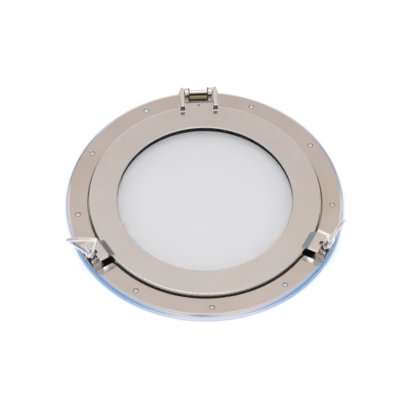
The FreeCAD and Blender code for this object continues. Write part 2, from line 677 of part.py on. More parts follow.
def make_dog_bracket(side):
    """A base plate let into the flange's back, with two ears standing in the pocket."""
    bracket = new_body(f"dog_bracket_{side}")
    reach, height, radius = dim("dog_pin_reach"), dim("dog_pin_height"), dim("dog_pin_radius")
    plate = new_sketch(bracket, "XY_Plane")
    inner, outer = reach - dim("bracket_inner_depth"), reach + dim("bracket_outer_depth")
    add_rectangle(plate, -dim("bracket_half_width"), dim("bracket_half_width"), inner, outer)
    extrude(bracket, "Pad", plate, dim("bracket_plate"))
    ears = new_sketch(bracket, "YZ_Plane")
    add_rectangle(ears, reach - dim("ear_half_depth"), reach + dim("ear_half_depth"), 0, dim("ear_height"))
    extrude(bracket, "Pad", ears, dim("ear_outer") * 2, both_ways=True)
    gap = new_sketch(bracket, "YZ_Plane")
    add_rectangle(gap, reach - SPARE, reach + SPARE, dim("bracket_plate"), dim("ear_height") + SPARE)
    extrude(bracket, "Pocket", gap, dim("ear_inner") * 2, both_ways=True)
    bore = new_sketch(bracket, "YZ_Plane")
    add_circle(bore, reach, height, radius)
    extrude(bracket, "Pocket", bore, THROUGH, both_ways=True)
    holes = new_sketch(bracket, "XY_Plane")
    for x in (dim("bracket_screw_offset"), -dim("bracket_screw_offset")):
        add_circle(holes, x, reach, dim("bracket_screw_radius"))
    extrude(bracket, "Pocket", holes, THROUGH, flipped=True)
    screw, top = dim("bracket_screw_radius"), dim("ear_height")
    dress(bracket, "Chamfer", dim("bracket_hole_flare"), lambda e: is_circle(e, screw) and middle_at(e, z=0))
    dress(bracket, "Fillet", dim("ear_rounding"), lambda e: along(e, X_AXIS) and middle_at(e, z=top))
    bracket.Placement = dog_station(side)
    return bracket


def make_countersunk_screw(label, head_radius, shank_radius, bottom, head_height, top):
    """A countersunk screw with its flat head down, at the origin's axis."""
    screw = new_body(label)
    section = new_sketch(screw, "XZ_Plane")
    corners = [
        (0, bottom),
        (head_radius, bottom),
        (shank_radius, as_size(bottom) + head_height),
        (shank_radius, top),
        (0, top),
    ]
    add_outline(section, corners)
    revolve(screw, section)
    add_slot(screw, bottom, half_width=0.35, depth=0.7)
    return screw


def make_dog_bracket_screws():
    radius = dim("bracket_screw_radius")
    flare, top = dim("bracket_screw_flare"), dim("bracket_screw_top")
    screw = make_countersunk_screw("dog_bracket_screw_pattern", radius + flare, radius, 0.05, flare, top)
    offset, reach = dim("bracket_screw_offset").value, dim("dog_pin_reach").value
    placements = [
        dog_station(side).multiply(shifted(x, reach, 0)) for side in SIDES for x in (offset, -offset)
    ]
    return copies("dog_bracket_screws", screw, placements)


# ---- pieces of the door ----


def retainer_screw_places():
    """Eight places round the retaining ring, none of them under a hinge arm or a lug."""
    reach = dim("retainer_screw_circle")
    angles = [math.radians(22.5 + 45 * number) for number in range(8)]
    return [(reach * math.cos(angle), reach * math.sin(angle)) for angle in angles]


def make_door_ring():
    ring = new_body("door_ring")
    face, back, edge = dim("door_face_height"), dim("door_back_height"), dim("door_edge_break")
    rounding = dim("door_edge_rounding")
    section = new_sketch(ring, "XZ_Plane")
    corners = [
        (dim("door_radius"), back),
        (dim("door_radius"), face - rounding),
        (dim("door_radius") - rounding, face),
        (dim("pane_opening_radius") + edge, face),
        (dim("pane_opening_radius"), face - edge),
        (dim("pane_opening_radius"), dim("seal_lip_height")),
        (dim("seal_seat_radius"), dim("seal_lip_height")),
        (dim("seal_seat_radius"), dim("seal_foot_height")),
        (dim("pane_radius") + dim("pane_gap"), dim("seal_foot_height")),
        (dim("pane_radius") + dim("pane_gap"), back),
    ]
    add_outline(section, corners, arcs={1: rounding})
    revolve(ring, section)
    tab = new_sketch(ring, "XY_Plane", lift=dim("tab_underside"))
    half, tab_end = dim("tab_half_width"), dim("tab_reach")
    add_rectangle(tab, -half, half, dim("arm_foot_reach"), tab_end)
    extrude(ring, "Pad", tab, face - dim("tab_underside"))

    threads = new_sketch(ring, "XY_Plane", lift=back)
    for x, y in retainer_screw_places():
        add_circle(threads, x, y, dim("retainer_screw_radius"))
    extrude(ring, "Pocket", threads, dim("retainer_screw_length") + dim("retainer_tap_spare"), flipped=True)
    clearance = new_sketch(ring, "XY_Plane", lift=back)
    seats = new_sketch(ring, "XY_Plane", lift=back)
    for x in (dim("arm_offset"), -dim("arm_offset")):
        add_circle(clearance, x, dim("arm_screw_reach"), dim("machine_screw_radius"))
        add_circle(seats, x, dim("arm_screw_reach"), dim("arm_screw_seat_radius"))
    extrude(ring, "Pocket", clearance, THROUGH, flipped=True)
    extrude(ring, "Pocket", seats, dim("arm_screw_seat_depth"), flipped=True)
    tab_hole = new_sketch(ring, "XY_Plane", lift=dim("tab_underside"))
    hole = dim("tab_hole_radius")
    add_circle(tab_hole, 0, tab_end - dim("tab_screw_inset"), hole)
    extrude(ring, "Pocket", tab_hole, THROUGH, flipped=True)
    dress(ring, "Chamfer", dim("tab_hole_flare"), lambda e: is_circle(e, hole) and middle_at(e, z=face))
    dress(ring, "Chamfer", dim("edge_break"), lambda e: along(e, X_AXIS) and middle_at(e, y=tab_end))
    return ring


def make_door_lug(side):
    """A ramped tongue on the door ring, forked for the swing bolt."""
    lug = new_body(f"door_lug_{side}")
    face, top = dim("door_face_height"), dim("lug_top_height")
    underside = top - dim("lug_thickness")
    profile = new_sketch(lug, "YZ_Plane")
    corners = [
        (dim("lug_start_reach"), face),
        (dim("door_radius"), face),
        (dim("door_radius") + dim("lug_neck"), underside),
        (dim("lug_end_reach"), underside),
        (dim("lug_end_reach"), top),
        (dim("lug_ramp_reach"), top),
    ]
    add_outline(profile, corners)
    extrude(lug, "Pad", profile, dim("lug_half_width") * 2, both_ways=True)
    slot = new_sketch(lug, "XY_Plane", lift=underside)
    half = dim("slot_half_width")
    add_rectangle(slot, -half, half, dim("slot_end_reach"), dim("lug_end_reach") + SPARE)
    extrude(lug, "Pocket", slot, dim("lug_thickness"), flipped=True)
    slot_end, lug_end, ramp_end = dim("slot_end_reach"), dim("lug_end_reach"), dim("lug_ramp_reach")
    outside = dim("lug_half_width")
    dress(lug, "Fillet", dim("slot_corner"), lambda e: along(e, Z_AXIS) and middle_at(e, y=slot_end))
    dress(lug, "Fillet", dim("lug_corner"), lambda e: along(e, Z_AXIS) and middle_at(e, y=lug_end)
          and (middle_at(e, x=outside) or middle_at(e, x=-outside)))
    dress(lug, "Fillet", dim("lug_ramp_rounding"), lambda e: along(e, X_AXIS) and middle_at(e, y=ramp_end))
    lug.Placement = dog_station(side)
    return lug


def make_hinge_arm(side):
    """A bar on the door ring whose far end wraps the hinge pin."""
    arm = new_body(f"hinge_arm_{side}")
    reach, height, radius = dim("hinge_reach"), dim("hinge_height"), dim("arm_end_radius")
    foot = dim("door_face_height")
    profile = new_sketch(arm, "YZ_Plane")
    corners = [
        (dim("arm_foot_reach"), foot),
        (dim("tab_reach"), foot),
        (dim("tab_reach") + dim("lug_neck"), height - radius),
        (reach, height - radius),
        (reach, height + radius),
        (dim("arm_foot_reach"), dim("arm_front_height")),
    ]
    add_outline(profile, corners)
    extrude(arm, "Pad", profile, dim("arm_thickness"), both_ways=True)
    end = new_sketch(arm, "YZ_Plane")
    add_circle(end, reach, height, radius)
    extrude(arm, "Pad", end, dim("arm_thickness"), both_ways=True)
    front, top = dim("arm_foot_reach"), dim("arm_front_height")
    dress(arm, "Fillet", dim("arm_front_rounding"),
          lambda e: along(e, X_AXIS) and middle_at(e, y=front, z=top))
    flare = new_sketch(arm, "XY_Plane", lift=foot)
    half = dim("arm_foot_width") * 0.5
    add_rectangle(flare, -half, half, front - dim("arm_foot_lead"), dim("tab_reach") - dim("arm_foot_inset"))
    spread = extrude(arm, "Pad", flare, dim("arm_foot_height"))
    bind(spread, "TaperAngle", -dim("arm_foot_taper"))
    base = new_sketch(arm, "XY_Plane", lift=foot)
    half = dim("arm_base_width") * 0.5
    add_rectangle(base, -half, half, dim("arm_base_reach"), dim("tab_reach") - dim("arm_base_inset"))
    extrude(arm, "Pad", base, dim("arm_base_height"))
    bore = new_sketch(arm, "YZ_Plane")
    add_circle(bore, reach, height, dim("hinge_pin_radius") + dim("running_clearance"))
    extrude(arm, "Pocket", bore, THROUGH, both_ways=True)
    thread = new_sketch(arm, "XY_Plane", lift=foot)
    add_circle(thread, 0, dim("arm_screw_reach"), dim("machine_screw_radius"))
    extrude(arm, "Pocket", thread, dim("arm_screw_grip") + dim("tap_spare"), flipped=True)
    arm.Placement = shifted(-SIDES[side] * dim("arm_offset").value, 0, 0)
    return arm


def make_hinge_arm_screws():
    seat = dim("door_back_height") + dim("arm_screw_seat_depth")
    top = dim("door_face_height") + dim("arm_screw_grip")
    radius, height = dim("arm_screw_head_radius"), dim("arm_screw_head_height")
    screw = make_machine_screw("arm_screw_pattern", seat, radius, height, top)
    offset, reach = dim("arm_offset").value, dim("arm_screw_reach").value
    return copies("hinge_arm_screws", screw, [shifted(offset, reach, 0), shifted(-offset, reach, 0)])


def make_tab_screw():
    """The small countersunk screw between the hinge arms, head up."""
    face, tab = dim("door_face_height"), dim("tab_underside")
    screw = new_body("tab_screw")
    section = new_sketch(screw, "XZ_Plane")
    shank, head, top = dim("tab_screw_radius"), dim("tab_screw_head_radius"), face - dim("hole_clearance")
    corners = [(0, tab), (shank, tab), (shank, top - (head - shank)), (head, top), (0, top)]
    add_outline(section, corners)
    revolve(screw, section)
    add_slot(screw, top - 0.5, half_width=0.3, depth=1)
    screw.Placement = shifted(0, dim("tab_reach").value - dim("tab_screw_inset").value, 0)
    return screw


def make_pane_pieces():
    top = dim("door_back_height") + dim("pane_thickness")
    back = dim("door_back_height")
    edge = dim("pane_radius")
    pane = make_ring("glass_pane", [(0, back), (edge, back), (edge, top), (0, top)])
    lip = dim("pane_opening_radius") + dim("seal_lip_overhang")
    seal_corners = [
        (lip, top),
        (dim("pane_radius") + dim("seal_pane_gap"), top),
        (dim("pane_radius") + dim("seal_pane_gap"), dim("seal_foot_height") - dim("seal_fit")),
        (dim("seal_seat_radius") - dim("seal_fit"), dim("seal_foot_height") - dim("seal_fit")),
        (dim("seal_seat_radius") - dim("seal_fit"), dim("seal_lip_height") - dim("seal_fit")),
        (lip, dim("seal_lip_height") - dim("seal_fit")),
    ]
    seal = make_ring("glazing_seal", seal_corners)
    low, broken = back - dim("retainer_thickness"), dim("edge_break")
    retainer_corners = [
        (dim("retainer_inner_radius") + broken, low),
        (dim("retainer_outer_radius") - broken, low),
        (dim("retainer_outer_radius"), low + broken),
        (dim("retainer_outer_radius"), back),
        (dim("retainer_inner_radius"), back),
        (dim("retainer_inner_radius"), low + broken),
    ]
    retainer = make_ring("glass_retainer", retainer_corners)
    holes = new_sketch(retainer, "XY_Plane", lift=low)
    radius, flare = dim("retainer_screw_radius"), dim("retainer_screw_flare")
    for x, y in retainer_screw_places():
        add_circle(holes, x, y, radius)
    extrude(retainer, "Pocket", holes, THROUGH, flipped=True)
    dress(retainer, "Chamfer", flare + dim("hole_clearance"),
          lambda e: is_circle(e, radius) and middle_at(e, z=low))
    top = back + dim("retainer_screw_length")
    screw = make_countersunk_screw("retainer_screw_pattern", radius + flare, radius, low + 0.1, flare, top)
    placements = [shifted(x.value, y.value, 0) for x, y in retainer_screw_places()]
    screws = copies("retainer_screws", screw, placements)
    return [pane, seal, retainer, screws]


# ---- pieces of the dogs ----


def make_swing_bolt(side):
    """An eye round the dog pin with a long threaded shank."""
    bolt = new_body(f"swing_bolt_{side}")
    eye = new_sketch(bolt, "YZ_Plane")
    add_circle(eye, 0, 0, dim("eye_radius"))
    extrude(bolt, "Pad", eye, dim("eye_width"), both_ways=True)
    shank = new_sketch(bolt, "XY_Plane")
    add_circle(shank, 0, 0, dim("bolt_radius"))
    extrude(bolt, "Pad", shank, dim("bolt_length"))
    bore = new_sketch(bolt, "YZ_Plane")
    add_circle(bore, 0, 0, dim("dog_pin_radius") + dim("running_clearance"))
    extrude(bolt, "Pocket", bore, THROUGH, both_ways=True)
    radius, tip = dim("bolt_radius"), dim("bolt_length")
    dress(bolt, "Fillet", dim("bolt_tip_rounding"), lambda e: is_circle(e, radius) and middle_at(e, z=tip))
    bolt.Placement = bolt_station(side)
    return bolt


def make_dog_washer(side):
    bore, outer, thickness = dim("washer_bore_radius"), dim("washer_radius"), dim("washer_thickness")
    corners = [
        (bore, 0),
        (outer, 0),
        (outer, thickness - dim("washer_edge")),
        (outer - dim("washer_edge"), thickness),
        (bore, thickness),
    ]
    washer = make_ring(f"dog_washer_{side}", corners)
    washer.Placement = bolt_station(side, dim("washer_lift").value)
    return washer


def arch_radius(half_width, rise):
    """Radius of an arch over the given half width."""
    return (half_width.value**2 + rise.value**2) / (2 * rise.value)


def make_nut_loop(nut):
    """Two arms that spread up to an arched top bar."""
    wide, root = dim("nut_half_width"), dim("nut_root_half_width")
    shoulder = dim("nut_height") - dim("nut_arch")
    loop = new_sketch(nut, "XZ_Plane")
    low = dim("nut_root_height")
    corners = [(-root, low), (root, low), (wide, shoulder), (-wide, shoulder)]
    add_outline(loop, corners, arcs={2: arch_radius(wide, dim("nut_arch"))})
    extrude(nut, "Pad", loop, dim("nut_thickness"), both_ways=True)

    inner, foot = wide - dim("nut_arm_width"), dim("nut_opening_half_width")
    low = dim("nut_hub_height") - 1
    inner_top = dim("nut_height") - dim("nut_bar") - dim("nut_inner_arch")
    opening = new_sketch(nut, "XZ_Plane")
    corners = [(-foot, low), (foot, low), (inner, inner_top), (-inner, inner_top)]
    add_outline(opening, corners, arcs={2: arch_radius(inner, dim("nut_inner_arch"))})
    extrude(nut, "Pocket", opening, THROUGH, both_ways=True)

    dress(nut, "Fillet", dim("nut_corner"),
          lambda e: along(e, Y_AXIS) and (middle_at(e, z=shoulder) or middle_at(e, z=inner_top)))
    side = dim("nut_thickness") * 0.5
    dress(nut, "Fillet", dim("nut_edge_rounding"),
          lambda e: e.BoundBox.YLength < CLOSE and (middle_at(e, y=side) or middle_at(e, y=-side)))


def make_wing_nut(side):
    """A threaded hub with a V-shaped loop on top."""
    nut = new_body(f"wing_nut_{side}")
    make_nut_loop(nut)
    base, hub = dim("nut_base_radius"), dim("nut_hub_height")
    hub_section = new_sketch(nut, "XZ_Plane")
    hub_corners = [
        (0, 0),
        (base, 0),
        (dim("nut_waist_radius"), dim("nut_waist_height")),
        (base + dim("nut_tip_widening"), hub - dim("nut_tip_drop")),
        (base - dim("nut_tip_narrowing"), hub),
        (0, hub),
    ]
    add_outline(hub_section, hub_corners)
    revolve(nut, hub_section)
    bore = new_sketch(nut, "XY_Plane")
    add_circle(bore, 0, 0, dim("bolt_radius") + dim("running_clearance"))
    extrude(nut, "Pocket", bore, hub, flipped=True)
    lift = dim("washer_lift") + dim("washer_thickness")
    nut.Placement = bolt_station(side, lift.value, dim(f"nut_turn_{side}").value)
    return nut


def build():
    hinge_place = shifted(0, dim("hinge_reach").value, dim("hinge_height").value)
    pieces = [
        make_flange_ring(),
        make_fixing_screws(),
        make_hinge_bracket(),
        make_hinge_bracket_screws(),
        make_round_bar("hinge_pin", dim("hinge_pin_radius"), dim("hinge_pin_length"), 1.2, hinge_place),
        make_door_seal(),
        make_dog_bracket_screws(),
        make_door_ring(),
        make_hinge_arm_screws(),
        make_tab_screw(),
    ]
    pieces += make_pane_pieces()
    for side in SIDES:
        pin_place = dog_station(side).multiply(
            shifted(0, dim("dog_pin_reach").value, dim("dog_pin_height").value))
        pieces += [
            make_dog_bracket(side),
            make_round_bar(f"dog_pin_{side}", dim("dog_pin_radius"), dim("dog_pin_length"), 0.7, pin_place),
            make_door_lug(side),
            make_hinge_arm(side),
            make_swing_bolt(side),
            make_dog_washer(side),
            make_wing_nut(side),
        ]
    return pieces


def check(pieces):
    """Stops before anything is written if an object failed or a piece is no valid solid."""
    for thing in doc.Objects:
        if "Invalid" in thing.State or "Error" in thing.State:
            raise RuntimeError(f"{thing.Label} failed: {thing.State}")
    for piece in pieces:
        shape = piece.Shape
        if shape.isNull() or not shape.isValid() or not shape.Solids or shape.Volume <= 0:
            raise RuntimeError(f"{piece.Label} is not a valid solid")


nodes = build()
doc.recompute()
check(nodes)
os.makedirs("parts", exist_ok=True)
for node in nodes:
    node.Shape.exportStep(f"parts/{node.Label}.step")
    print(f"{node.Label}: {len(node.Shape.Solids)} solid(s), {node.Shape.Volume / 1000:.2f} cm3")
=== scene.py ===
import json
import math

import bmesh
import bpy
from mathutils import Matrix, Vector


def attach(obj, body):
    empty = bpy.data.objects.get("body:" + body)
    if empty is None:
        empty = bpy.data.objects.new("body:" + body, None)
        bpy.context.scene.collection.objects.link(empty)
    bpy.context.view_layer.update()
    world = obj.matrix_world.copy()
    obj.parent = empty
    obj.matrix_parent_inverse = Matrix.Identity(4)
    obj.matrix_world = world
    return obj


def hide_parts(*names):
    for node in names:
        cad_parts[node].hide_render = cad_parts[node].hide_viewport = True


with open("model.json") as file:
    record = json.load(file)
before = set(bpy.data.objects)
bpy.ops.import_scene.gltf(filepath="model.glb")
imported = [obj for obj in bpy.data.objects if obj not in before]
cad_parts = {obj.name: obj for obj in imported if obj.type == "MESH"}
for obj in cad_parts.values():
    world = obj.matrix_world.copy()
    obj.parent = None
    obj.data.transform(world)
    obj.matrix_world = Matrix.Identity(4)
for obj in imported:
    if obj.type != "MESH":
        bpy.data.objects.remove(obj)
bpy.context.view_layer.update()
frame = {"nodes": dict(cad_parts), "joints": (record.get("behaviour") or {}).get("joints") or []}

# Opening porthole in polished nickel plate, lying on a pale floor.
# Metres, +Z out of its face, +Y to the hinge.

# ---- camera ----

CAMERA_AZIMUTH = math.radians(-3.8)
CAMERA_ELEVATION = math.radians(54.6)
CAMERA_ROLL = 0.0162
CAMERA_DISTANCE = 4.28
CAMERA_LENS = 250.0
CAMERA_REACH = 50  # farthest distance that it sees
FACE_HEIGHT = 0.011  # the flange ring's face, which the camera's distance is measured to
AIM_LEFT = 0.00757  # how far left of the ring's axis the picture's middle lies
AIM_UP = 0.00064


def make_camera():
    """The camera; returns the direction from the porthole to it."""
    level = math.cos(CAMERA_ELEVATION)
    back = Vector((
        math.sin(CAMERA_AZIMUTH) * level,
        -math.cos(CAMERA_AZIMUTH) * level,
        math.sin(CAMERA_ELEVATION),
    ))
    turn = (-back).to_track_quat("-Z", "Y").to_matrix() @ Matrix.Rotation(CAMERA_ROLL, 3, "Z")
    aim = Vector((0, 0, FACE_HEIGHT)) + turn @ Vector((-AIM_LEFT, AIM_UP, 0))
    camera = bpy.data.objects.new("camera", bpy.data.cameras.new("camera"))
    camera.data.lens = CAMERA_LENS
    camera.data.clip_end = CAMERA_REACH
    camera.matrix_world = Matrix.Translation(aim + back * CAMERA_DISTANCE) @ turn.to_4x4()
    bpy.context.scene.collection.objects.link(camera)
    bpy.context.scene.camera = camera
    return back


# ---- shader helpers ----


def add(tree, kind, inputs=None, **settings):
    """A new shader node; an input that is a socket is linked, and any other is set."""
    node = tree.nodes.new(f"ShaderNode{kind}")
    for name, value in settings.items():
        setattr(node, name, value)
    for name, value in (inputs or {}).items():
        connect(tree, node.inputs[name], value)
    return node


def connect(tree, socket, value):
    if isinstance(value, bpy.types.NodeSocket):
        tree.links.new(value, socket)
    else:
        socket.default_value = value


def calculate(tree, operation, *values, clamp=False):
    """One arithmetic step on numbers or sockets."""
    node = add(tree, "Math", dict(enumerate(values)), operation=operation, use_clamp=clamp)
    return node.outputs[0]


def product(tree, first, second):
    """Two masks multiplied hold where both do."""
    return calculate(tree, "MULTIPLY", first, second)


def remap(tree, value, low, high, to_low=0.0, to_high=1.0):
    """The value moved from one range to another, and held at the ends of it."""
    ends = {"Value": value, "From Min": low, "From Max": high, "To Min": to_low, "To Max": to_high}
    return add(tree, "MapRange", ends).outputs["Result"]


def mix_colour(tree, share, first, second):
    node = add(tree, "Mix", data_type="RGBA")
    for index, value in ((0, share), (6, first), (7, second)):
        connect(tree, node.inputs[index], value)
    return node.outputs[2]


def noise(tree, vector, scale, detail=3.0, roughness=0.5):
    sizes = {"Vector": vector, "Scale": scale, "Detail": detail, "Roughness": roughness}
    return add(tree, "TexNoise", sizes).outputs["Fac"]


def split(tree, vector):
    """The X, Y and Z of a vector."""
    return add(tree, "SeparateXYZ", {0: vector}).outputs


def axis_distance(tree, place):
    """How far a point is from the porthole's axis."""
    x, y, _ = split(tree, place)
    level = add(tree, "CombineXYZ", {0: x, 1: y}).outputs[0]
    return add(tree, "VectorMath", {0: level}, operation="LENGTH").outputs["Value"]


def alignment(tree, first, second):
    """The dot product of two directions."""
    node = add(tree, "VectorMath", {0: first, 1: second}, operation="DOT_PRODUCT")
    return node.outputs["Value"]


def new_material(name):
    material = bpy.data.materials.new(name)
    material.use_nodes = True
    tree = material.node_tree
    tree.nodes.clear()
    surface = add(tree, "BsdfPrincipled")
    output = add(tree, "OutputMaterial")
    tree.links.new(surface.outputs[0], output.inputs["Surface"])
    place = add(tree, "TexCoord").outputs["Object"]
    return material, tree, surface, place


def dress(tree, surface, values):
    """Sets or links the named inputs of a material's surface."""
    for name, value in values.items():
        connect(tree, surface.inputs[name], value)


def rgba(colour, scale=1.0):
    return (colour[0] * scale, colour[1] * scale, colour[2] * scale, 1.0)


def shade(colour, factors):
    return tuple(part * factor for part, factor in zip(colour, factors))


# ---- metals: colours ----

WARM_NICKEL = (0.686, 0.618, 0.570)
CLEAN_NICKEL = (0.745, 0.700, 0.665)
BRIGHT_NICKEL = (0.830, 0.805, 0.785)
# Painted shade: the tab screw is coloured dark for the shade in its recess.
SCREW_RECESS_SHADE = (0.26, 0.22, 0.20)
# Painted shade with some dirt: the colour that corners and recesses darken towards.
CORNER_SHADE_AND_GRIME = (0.16, 0.13, 0.10)

# Factors on the metal's own colour; all but the stain paint reflections, highlights and shade.
STAINED = (0.98, 0.93, 0.78)
# Painted reflections on the flange ring's outer side: paler all round, and bluer at its lower left
# and lower right.
SIDE_REFLECTION = (1.00, 1.12, 1.36)
LOWER_SIDE_BLUE_REFLECTION = (0.48, 0.78, 1.18)
# Painted shade: the hinge arms' front ends darkened.
ARM_FRONT_SHADE = (0.22, 0.22, 0.20)
# Painted reflection: the dog pockets' lower ends lightened and blued.
RAMP_REFLECTION = (1.40, 1.52, 1.60)
# Painted highlight: the hinge arms' thin base lightened to a bright line.
ARM_BASE_HIGHLIGHT = (1.28, 1.34, 1.40)
# Painted dark reflection: the hinge bracket's web darkened to olive.
WEB_DARK_REFLECTION = (0.30, 0.27, 0.18)

# ---- metals: masks of the painted reflections, highlights and shade ----

# Each pair says where a mask starts and where it is full: a position in metres, or a part of
# the face's unit normal.
SIDE_RADIUS = (0.2090, 0.2120)
LOWER_SIDEWAYS = (0.06, 0.13)
LOWER_Y = (-0.06, -0.09)
RAMP_NOT_FLATTER = (0.975, 0.960)
RAMP_NOT_STEEPER = (0.88, 0.91)
RAMP_TO_HINGE = (0.0, 0.1)
ARM_FRONT_FACING = (-0.60, -0.85)
ABOVE_ARM_BASE = (0.0202, 0.0205)
WEB_SIDEWAYS = (0.0157, 0.0155)
ABOVE_HINGE_FOOT = (0.0132, 0.0135)


def face_normal(tree):
    return split(tree, add(tree, "TexCoord").outputs["Normal"])


def outer_side(tree, place):
    """How far a point lies on the outer side of the flange ring, from 0 to 1."""
    return remap(tree, axis_distance(tree, place), *SIDE_RADIUS)


def lower_side(tree, place):
    """The outer side again, only at the lower left and lower right of the flange ring."""
    x, y, _ = split(tree, place)
    sideways = remap(tree, calculate(tree, "ABSOLUTE", x), *LOWER_SIDEWAYS)
    low = remap(tree, y, *LOWER_Y)
    return product(tree, outer_side(tree, place), product(tree, sideways, low))


def pocket_ramp(tree, _place):
    """How nearly a face has the slope of the dog pockets' lower ends, from 0 to 1."""
    _, y, z = face_normal(tree)
    sloped = product(tree, remap(tree, z, *RAMP_NOT_FLATTER), remap(tree, z, *RAMP_NOT_STEEPER))
    return product(tree, sloped, remap(tree, y, *RAMP_TO_HINGE))


def arm_front(tree, place):
    """How squarely a face above the arms' thin base looks away from the hinge, from 0 to 1."""
    facing = remap(tree, face_normal(tree)[1], *ARM_FRONT_FACING)
    return product(tree, facing, remap(tree, split(tree, place)[2], *ABOVE_ARM_BASE))


def arm_base(tree, place):
    """1 on the arms' thin base, else 0."""
    return remap(tree, split(tree, place)[2], *reversed(ABOVE_ARM_BASE))


def hinge_web(tree, place):
    """1 above the bracket's foot on its web and 1.5 mm into the ears beside it, else 0."""
    x, _, z = split(tree, place)
    between = remap(tree, calculate(tree, "ABSOLUTE", x), *WEB_SIDEWAYS)
    return product(tree, between, remap(tree, z, *ABOVE_HINGE_FOOT))


# ---- metals: plate ----

RINGS_ACROSS, RINGS_ALONG = 1600.0, 9.0  # how closely the turned marks vary, across and along
LINES_ACROSS, LINES_ALONG = 900, 30  # and the straight ones
MARK_HEIGHT = 0.0000035
LUMPS_PER_METRE = 130.0
CLOUDS_PER_METRE = 14.0
STAINS_PER_METRE = 9.0
HAZE_PER_METRE = 55.0
SPECKS_PER_METRE = 900.0
NOISE_MIDDLE = (0.35, 0.65)  # most of a noise lies between these
NOISE_SPREAD = (0.3, 0.7)
SPECK_DEPTH = 0.25
# How strongly edges brighten, partly as wear and partly as painted highlight.
EDGE_WEAR_AND_HIGHLIGHT = 0.8
MARK_DULLING = 0.03
GRIME_DULLING = 0.3
CORNER_SAMPLES = 6


def polishing_marks(tree, place, direction):
    """Fine parallel marks: rings round the porthole's axis when turned, else along one axis."""
    if direction == "turned":
        x, y, _ = split(tree, place)
        stretched = add(tree, "CombineXYZ", {
            0: product(tree, axis_distance(tree, place), RINGS_ACROSS),
            1: product(tree, x, RINGS_ALONG),
            2: product(tree, y, RINGS_ALONG),
        }).outputs[0]
    else:
        scale = [LINES_ALONG if axis == direction else LINES_ACROSS for axis in "xyz"]
        stretched = add(tree, "Mapping", {"Vector": place, "Scale": scale}).outputs[0]
    return noise(tree, stretched, 1.0, detail=2.0, roughness=0.6)


def find_worn_and_lit_edges(tree, rounded):
    """1 where the rounded surface turns away from the flat face, else 0."""
    flat = add(tree, "NewGeometry").outputs["Normal"]
    return remap(tree, alignment(tree, rounded, flat), 0.995, 0.90)


def find_shade_and_grime(tree, haze, reach):
    """Painted shade with some dirt in corners: darker where ambient occlusion finds near surfaces,
    out to the given distance.
    """
    shelter = add(tree, "AmbientOcclusion", {"Distance": reach}, samples=CORNER_SAMPLES)
    corner = remap(tree, shelter.outputs["AO"], 0.70, 0.30)
    return product(tree, corner, remap(tree, haze, *NOISE_MIDDLE, 0.5, 1.0))


def plate_colour(tree, place, colour, stains, shade_and_grime, worn_and_lit_edge, patches):
    clouds = remap(tree, noise(tree, place, CLOUDS_PER_METRE, detail=4.0), *NOISE_MIDDLE)
    tint = mix_colour(tree, clouds, rgba(colour, 0.97), rgba(colour, 1.02))
    stain = remap(tree, noise(tree, place, STAINS_PER_METRE), 0.50, 0.68, 0.0, stains)
    tint = mix_colour(tree, stain, tint, rgba(shade(colour, STAINED)))
    specks = remap(tree, noise(tree, place, SPECKS_PER_METRE, detail=2.0), 0.68, 0.74)
    tint = mix_colour(tree, product(tree, specks, SPECK_DEPTH), tint, rgba(colour, 0.55))
    # Corners darken: painted shade, with some dirt.
    tint = mix_colour(tree, shade_and_grime, tint, rgba(CORNER_SHADE_AND_GRIME))
    worn_and_lit = product(tree, worn_and_lit_edge, EDGE_WEAR_AND_HIGHLIGHT)
    # Edges brighten: partly wear, partly a painted highlight along each rounding.
    tint = mix_colour(tree, worn_and_lit, tint, rgba(BRIGHT_NICKEL, 1.12))
    for mask, factors in patches:
        tint = mix_colour(tree, mask(tree, place), tint, rgba(shade(colour, factors)))
    return tint


def plate_roughness(tree, roughness, haze, scratches, shade_and_grime):
    dull = remap(tree, haze, *NOISE_SPREAD, roughness * 0.75, roughness * 1.35)
    marks = remap(tree, scratches, *NOISE_SPREAD, -MARK_DULLING, MARK_DULLING)
    dull = calculate(tree, "ADD", dull, marks)
    return calculate(tree, "ADD", dull, product(tree, shade_and_grime, GRIME_DULLING), clamp=True)


def plate_normal(tree, place, rounded, scratches, lumps):
    relief = product(tree, scratches, MARK_HEIGHT)
    if lumps:
        swell = product(tree, noise(tree, place, LUMPS_PER_METRE), lumps)
        relief = calculate(tree, "ADD", relief, swell)
    depth = {"Height": relief, "Normal": rounded, "Distance": 1.0, "Strength": 1.0}
    return add(tree, "Bump", depth).outputs[0]


def make_metal(
    name, colour, roughness, marks="turned", lumps=0.0, edge=0.0006, reach=0.0025, stains=0.4,
    patches=(),
):
    """Polished plate with wiping haze, painted shade with some dirt in corners, and bright edges
    that are partly wear and partly painted highlight.

    The edge is the radius of its rounding. A patch is a mask function and the colour factors of
    the area that it holds; the patches paint reflections, highlights and shade.
    """
    material, tree, surface, place = new_material(name)
    haze = noise(tree, place, HAZE_PER_METRE, detail=5.0, roughness=0.65)
    scratches = polishing_marks(tree, place, marks)
    rounded = add(tree, "Bevel", {"Radius": edge}, samples=CORNER_SAMPLES).outputs[0]
    worn_and_lit_edge = find_worn_and_lit_edges(tree, rounded)
    shade_and_grime = find_shade_and_grime(tree, haze, reach)
    dress(tree, surface, {
        "Metallic": 1.0,
        "Base Color": plate_colour(tree, place, colour, stains, shade_and_grime, worn_and_lit_edge, patches),
        "Roughness": plate_roughness(tree, roughness, haze, scratches, shade_and_grime),
        "Normal": plate_normal(tree, place, rounded, scratches, lumps),
    })
    return material


# ---- rubber and glass ----

NEW_RUBBER = (0.006, 0.006, 0.006)
BLOOMED_RUBBER = (0.016, 0.016, 0.017)
GRAIN_HEIGHT = 0.00004
GLASS_TINT = (0.955, 0.952, 0.965)
WIPING_ANGLE = 0.6
WIPING_STRETCH = (5, 16, 5)


